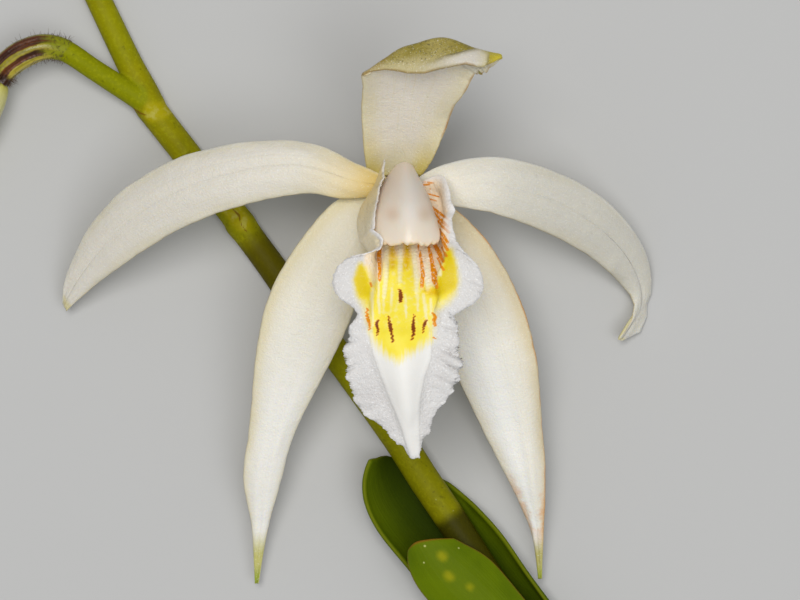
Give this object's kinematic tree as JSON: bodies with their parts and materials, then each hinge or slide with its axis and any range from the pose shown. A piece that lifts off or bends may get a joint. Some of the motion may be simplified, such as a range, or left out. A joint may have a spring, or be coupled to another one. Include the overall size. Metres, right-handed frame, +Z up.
{
  "type": "coelogyne orchid, cut flowering stem",
  "caption": "Cut flowering stem of a white coelogyne orchid lying flat: open bloom with a yellow-marked lip, a closed bud and young leaves clasping the stem.",
  "frame": {"origin": "on the surface, at the flat spot under the stem's middle node, from which the bloom's stalk grows", "axes": "+Z up out of the bloom's face, +Y towards the bloom's top, +X to the bloom's right as seen from above"},
  "size_m": [0.0639, 0.0732, 0.0199],
  "materials": {
    "tepal_white": "matte, finely sparkling",
    "lip_white": "matte, with yellow, orange and brown markings",
    "column_ivory": "satin",
    "anther_yellow": "matte",
    "stem_green": "satin",
    "ovary_brown": "glossy ribs",
    "bud_cream": "matte",
    "leaf_green": "satin"
  },
  "bodies": {
    "root": {"dorsal_sepal": "tepal_white", "left_petal": "tepal_white", "right_petal": "tepal_white", "left_lateral_sepal": "tepal_white", "right_lateral_sepal": "tepal_white", "lip": "lip_white", "column": "column_ivory", "anther_cap": "anther_yellow", "scape": "stem_green", "flower_ovary": "ovary_brown", "bud_ovary": "ovary_brown", "flower_bud": "bud_cream", "leaf_back": "leaf_green", "leaf_front": "leaf_green"}
  },
  "joints": []
}
